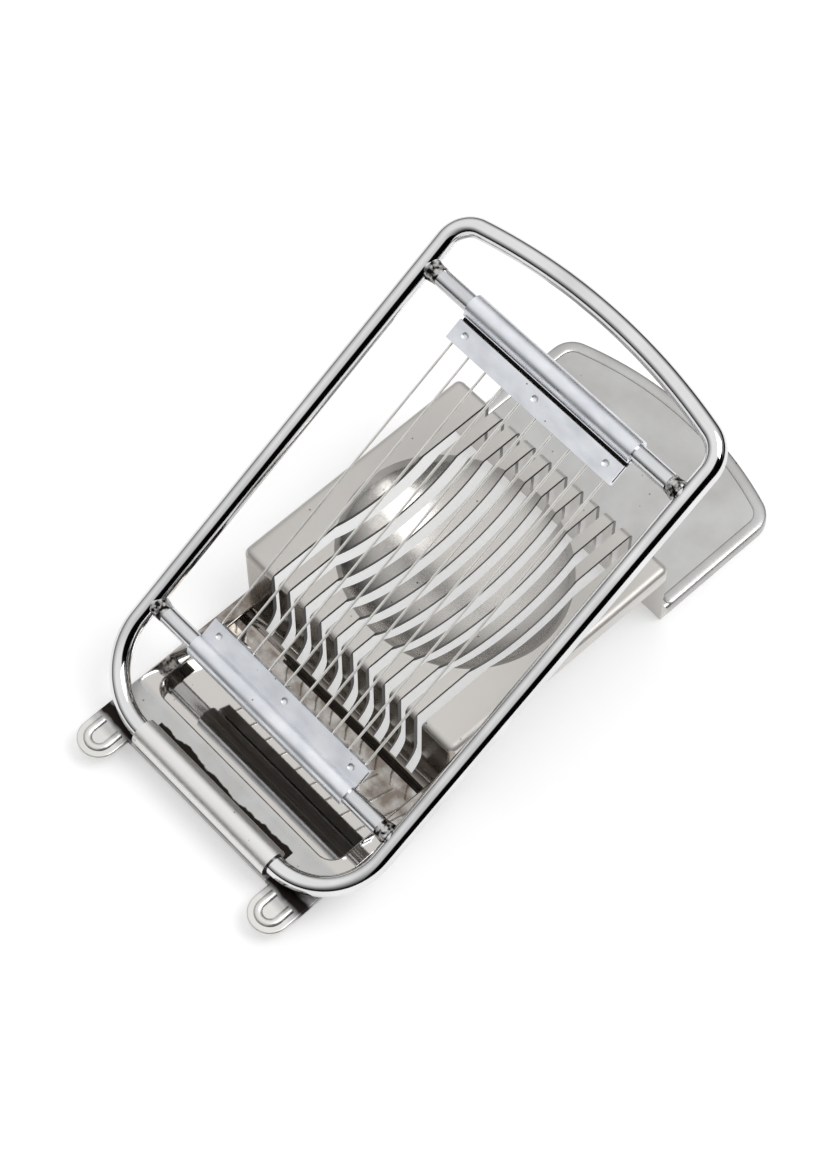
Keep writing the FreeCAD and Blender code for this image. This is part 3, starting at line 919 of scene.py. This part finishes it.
@dataclass(frozen=True)
class Studio:
    """Floor, soft light and camera."""

    # View: focal length in photo pixels, distance and aim from the hinge, angles in degrees
    focal_px: float = 3179.76
    sensor_mm: float = 36.0
    near_m: float = 0.01
    distance_mm: float = 700.0
    beta: float = 42.8885
    elevation: float = 62.085
    aim_right_mm: float = 45.318
    aim_up_mm: float = 46.739
    # Floor
    floor_half_m: float = 1.5
    floor_drop_m: float = 0.0002
    floor_colour: str = "#D9D9D9"
    floor_glow: float = 0.42
    far_m: Range = (0.25, 0.8)
    far_glow: float = 0.3
    white: str = "#FFFFFF"
    # Sky by height, with more light from one side, and a dark card
    sky: tuple[tuple[float, str], ...] = ((0.0, "#0C0B0B"), (0.25, "#2A2A2A"), (0.5, "#9C9C9C"), (0.85, "#FFFFFF"))
    side_gain: float = 0.35
    card: Place = (-0.93, 0.17, 0.33)
    card_edge: Range = (0.71, 0.81)
    card_colour: str = "#060505"
    # Key light
    key_watts: float = 3.0
    key_size_m: float = 0.5
    key_place_m: Place = (-0.35, -0.25, 0.75)

    def camera(self) -> None:
        """Place the camera at the photo's angle, distance and framing."""
        b, e = math.radians(self.beta), math.radians(self.elevation)
        back = Vector((-math.cos(e) * math.cos(b), math.cos(e) * math.sin(b), math.sin(e)))
        right = Vector((-math.sin(b), -math.cos(b), 0.0))
        up = back.cross(right)
        spot = (Vector(HINGE_MM) + back * self.distance_mm + right * self.aim_right_mm + up * self.aim_up_mm) * MM
        data = bpy.data.cameras.new("camera")
        data.sensor_fit = "VERTICAL"
        data.sensor_height = self.sensor_mm
        data.lens = self.focal_px * self.sensor_mm / PHOTO_SIZE[1]
        data.clip_start = self.near_m
        camera = bpy.data.objects.new("camera", data)
        camera.matrix_world = Matrix.Translation(spot) @ Matrix((right, up, back)).transposed().to_4x4()
        bpy.context.scene.collection.objects.link(camera)
        bpy.context.scene.camera = camera

    def floor(self) -> None:
        """Pale floor that shows white to the camera and in reflections, whiter far off, and keeps a soft shadow."""
        half, low = self.floor_half_m, -self.floor_drop_m
        corners = np.array([[-half, -half, low], [half, -half, low], [half, half, low], [-half, half, low]])
        material = bpy.data.materials.new("pale_floor")
        material.use_nodes = True
        tree = material.node_tree
        tree.nodes.clear()
        output = add_node(tree, "ShaderNodeOutputMaterial")
        rays = add_node(tree, "ShaderNodeLightPath").outputs
        seen = maths(tree, "MAXIMUM", rays["Is Camera Ray"], rays["Is Glossy Ray"])
        seen = maths(tree, "MAXIMUM", seen, rays["Is Transmission Ray"])
        matt = add_node(tree, "ShaderNodeBsdfDiffuse", Color=linear(self.floor_colour))
        away = add_node(tree, "ShaderNodeVectorMath", {"operation": "LENGTH"},
                        in0=add_node(tree, "ShaderNodeTexCoord").outputs["Object"]).outputs["Value"]
        far = maths(tree, "MULTIPLY", remap(tree, away, self.far_m, (0.0, self.far_glow)), rays["Is Camera Ray"])
        lift = maths(tree, "ADD", maths(tree, "MULTIPLY", seen, self.floor_glow), far)
        glow = add_node(tree, "ShaderNodeEmission", Color=linear(self.white), Strength=lift)
        both = add_node(tree, "ShaderNodeAddShader", in0=matt.outputs[0], in1=glow.outputs[0])
        tree.links.new(both.outputs[0], output.inputs[0])
        plane = add_mesh("floor", corners, np.array([[0, 1, 2, 3]]), material)

    def light(self) -> None:
        """Bright overhead sky that falls off to a dark horizon, a dark card that edges the metal, and a soft key."""
        world = bpy.data.worlds.new("studio")
        bpy.context.scene.world = world
        world.use_nodes = True
        tree = world.node_tree
        tree.nodes.clear()
        output = add_node(tree, "ShaderNodeOutputWorld")
        rays = add_node(tree, "ShaderNodeLightPath").outputs
        toward = add_node(tree, "ShaderNodeTexCoord").outputs["Generated"]
        part = parts(tree, toward)
        side = maths(tree, "MAXIMUM", part["X"], 0.0)
        above = maths(tree, "MULTIPLY_ADD", side, self.side_gain, part["Z"])
        sky = set_ramp(add_node(tree, "ShaderNodeValToRGB", Fac=above), self.sky)
        card = remap(tree, dot(tree, toward, self.card), self.card_edge, curve="SMOOTHSTEP")
        sky = stain(tree, card, sky, self.card_colour)
        colour = stain(tree, rays["Is Camera Ray"], sky, self.white)
        back = add_node(tree, "ShaderNodeBackground", Color=colour, Strength=1.0)
        tree.links.new(back.outputs[0], output.inputs[0])
        data = bpy.data.lights.new("key", "AREA")
        data.energy = self.key_watts
        data.size = self.key_size_m
        lamp = bpy.data.objects.new("key", data)
        lamp.location = self.key_place_m
        lamp.rotation_euler = (-Vector(self.key_place_m)).to_track_quat("-Z", "Y").to_euler()
        bpy.context.scene.collection.objects.link(lamp)

    def build(self) -> None:
        """Set up the view, floor and light."""
        bpy.context.scene.view_settings.view_transform = "Standard"
        self.camera()
        self.floor()
        self.light()


def make_finishes(frame: FrameAssembly) -> dict[str, Material]:
    """Make every finish.

    Args:
        frame: Frame, for the places of its welds.
    Returns:
        Materials by name.
    """
    welds = frame.weld_places()
    finishes = {
        # Stamped aluminium sheet, tumbled satin: soft grey with small pits
        "sheet": StampedSheet("stamped_aluminium", pale="#C3C3C2", deep="#B5B4B2", rough_low=0.30, rough_high=0.42,
                              cloud_mm=9.0, grit_mm=0.5, grit_lift_mm=0.012, pit_mm=0.35),
        # Drawn mild steel rod, polished and plated: mirror bright with fine grit
        "rod": WeldedRod("polished_steel_rod", pale="#E6E6E6", deep="#D4D4D5", rough_low=0.04, rough_high=0.09,
                         cloud_mm=14.0, grit_mm=0.8, grit_lift_mm=0.002, welds_mm=welds),
        # Thinner drawn steel rod, a little duller, with draw lines along it, burnt at its ends
        "bar": WeldedRod("drawn_steel_bar", pale="#DCDDDF", deep="#C6C7CA", rough_low=0.15, rough_high=0.26,
                         cloud_mm=5.0, grit_mm=0.6, grit_lift_mm=0.006, stretch=(0.15, 1.0, 1.0), welds_mm=welds),
        # Folded soft aluminium, rolled finish: pale, slightly blue, with handling marks
        "clip": FoldedSheet("folded_aluminium", pale="#EBEDF1", deep="#D3D6DC", rough_low=0.28, rough_high=0.42,
                            cloud_mm=4.0, grit_mm=5.0, grit_lift_mm=0.06, stretch=(0.6, 1.0, 1.0), pit_mm=0.3),
        # Drawn steel wire, bright
        "wire": MetalFinish("bright_wire", pale="#FAF9F6", deep="#EDEBE6", rough_low=0.4, rough_high=0.5,
                            cloud_mm=6.0, grit_mm=3.0, grit_lift_mm=0.001),
        # Scale left by welding: dull, dark and lumpy
        "weld": MetalFinish("weld_scale", pale="#C4C3C1", deep="#1A1816", rough_low=0.25, rough_high=0.5,
                            cloud_mm=1.3, grit_mm=0.4, grit_lift_mm=0.05, blend_reach=0.07),
    }
    return {name: finish.build() for name, finish in finishes.items()}


def main() -> None:
    """Load the part, dress it and set the scene."""
    logging.basicConfig(level=logging.INFO, format="%(message)s")
    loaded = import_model()
    frame = FrameAssembly()
    finishes = make_finishes(frame)
    BaseAssembly().build(loaded["nodes"], finishes)
    frame.build(loaded["nodes"], finishes)
    Studio().build()


if __name__ == "__main__":
    main()
